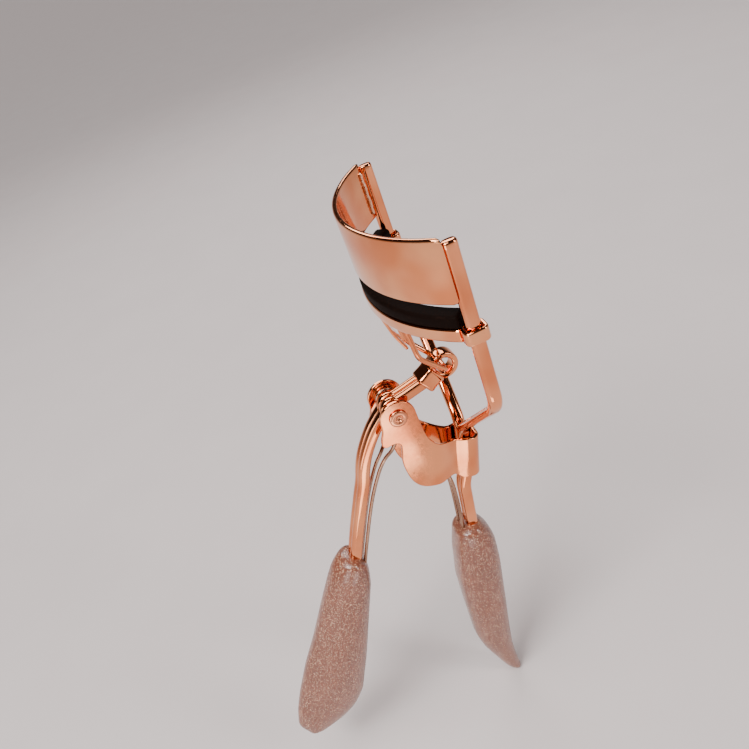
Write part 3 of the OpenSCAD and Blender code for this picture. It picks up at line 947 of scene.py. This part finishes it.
# ---------------------------------------------------------------------------
# Studio. A plain pale floor under soft light: three large panels, two small
# ones that draw highlights on the polished metal, and wide soft daylight.
# ---------------------------------------------------------------------------
floor_mesh = bpy.data.meshes.new("studio_floor")
FLOOR = 14.0
floor_mesh.from_pydata(
    [(-FLOOR, -FLOOR, 0), (FLOOR, -FLOOR, 0), (FLOOR, FLOOR, 0), (-FLOOR, FLOOR, 0)], [],
    [(0, 1, 2, 3)]
)
studio_floor = bpy.data.objects.new("studio_floor", floor_mesh)
bpy.context.scene.collection.objects.link(studio_floor)
pale = bpy.data.materials.new("pale_floor")
pale.use_nodes = True
pale_nodes, pale_links = pale.node_tree.nodes, pale.node_tree.links
pale_shader = pale_nodes["Principled BSDF"]
pale_shader.inputs["Roughness"].default_value = 0.75
mottle = pale_nodes.new("ShaderNodeTexNoise")
mottle.inputs["Scale"].default_value = 40.0
pale_where = pale_nodes.new("ShaderNodeTexCoord")
pale_links.new(pale_where.outputs["Object"], mottle.inputs["Vector"])
pale_tone = pale_nodes.new("ShaderNodeMix")
pale_tone.data_type = "RGBA"
pale_tone.inputs[6].default_value = (0.66, 0.60, 0.60, 1)
pale_tone.inputs[7].default_value = (0.70, 0.645, 0.64, 1)
pale_links.new(mottle.outputs["Fac"], pale_tone.inputs[0])
pale_links.new(pale_tone.outputs[2], pale_shader.inputs["Base Color"])
floor_mesh.materials.append(pale)

ahead = Vector((-0.8274, 0.0713, -0.5571))
upward = Vector((-0.4823, 0.4181, 0.7698))
rightward = Vector((0.2878, 0.9056, -0.3115))
camera_data = bpy.data.cameras.new("camera")
camera_data.lens = 35.8
camera_data.sensor_width = 36.0
camera_data.clip_start = 0.005
camera_data.clip_end = 60.0
camera = bpy.data.objects.new("camera", camera_data)
bpy.context.scene.collection.objects.link(camera)
turn = Matrix((rightward, upward, -ahead)).transposed().to_4x4()
camera.matrix_world = Matrix.Translation(from_rods((90.98, -19.73, 63.4))) @ turn
bpy.context.scene.camera = camera

room = bpy.data.worlds.new("soft_room")
room.use_nodes = True
bpy.context.scene.world = room
room_nodes, room_links = room.node_tree.nodes, room.node_tree.links
sky = room_nodes["Background"]
room_where = room_nodes.new("ShaderNodeTexCoord")
height = room_nodes.new("ShaderNodeSeparateXYZ")
room_links.new(room_where.outputs["Generated"], height.inputs[0])
walls = room_nodes.new("ShaderNodeValToRGB")
walls.color_ramp.elements[0].position = 0.0
walls.color_ramp.elements[0].color = (0.74, 0.69, 0.68, 1)
walls.color_ramp.elements[1].position = 0.30
walls.color_ramp.elements[1].color = (0.055, 0.035, 0.030, 1)
room_links.new(height.outputs["Z"], walls.inputs["Fac"])
room_links.new(walls.outputs["Color"], sky.inputs["Color"])
sky.inputs["Strength"].default_value = 0.62

middle = from_rods((0, -16, -12))
for name, spot, size, power, spread, colour in (
    ("key_panel", (0.20, -0.26, 0.42), (0.26, 0.16), 2.3, 180, (1.0, 0.97, 0.94)),
    ("fill_panel", (0.30, 0.36, 0.20), (0.10, 0.34), 1.0, 180, (1.0, 0.95, 0.93)),
    ("back_panel", (-0.42, 0.05, 0.34), (0.40, 0.14), 1.1, 180, (1.0, 0.96, 0.95)),
    ("low_panel", (0.075, -0.012, -0.057), (0.05, 0.018), 0.005, 130, (1.0, 0.97, 0.92)),
    ("side_panel", (0.16, -0.17, -0.01), (0.10, 0.15), 0.09, 130, (1.0, 0.97, 0.92)),
):
    light = bpy.data.lights.new(name, "AREA")
    light.shape = "RECTANGLE"
    light.size, light.size_y = size
    light.energy = power
    light.color = colour
    light.spread = math.radians(spread)
    panel = bpy.data.objects.new(name, light)
    bpy.context.scene.collection.objects.link(panel)
    panel.location = middle + Vector(spot)
    panel.rotation_euler = (-Vector(spot)).to_track_quat("-Z", "Y").to_euler()
    panel.visible_camera = False

daylight = bpy.data.lights.new("daylight", "SUN")
daylight.energy = 2.1
daylight.angle = math.radians(50)
daylight.color = (1.0, 0.97, 0.96)
sun = bpy.data.objects.new("daylight", daylight)
bpy.context.scene.collection.objects.link(sun)
sun.rotation_euler = Vector((-0.25, 0.3, -1.0)).to_track_quat("-Z", "Y").to_euler()
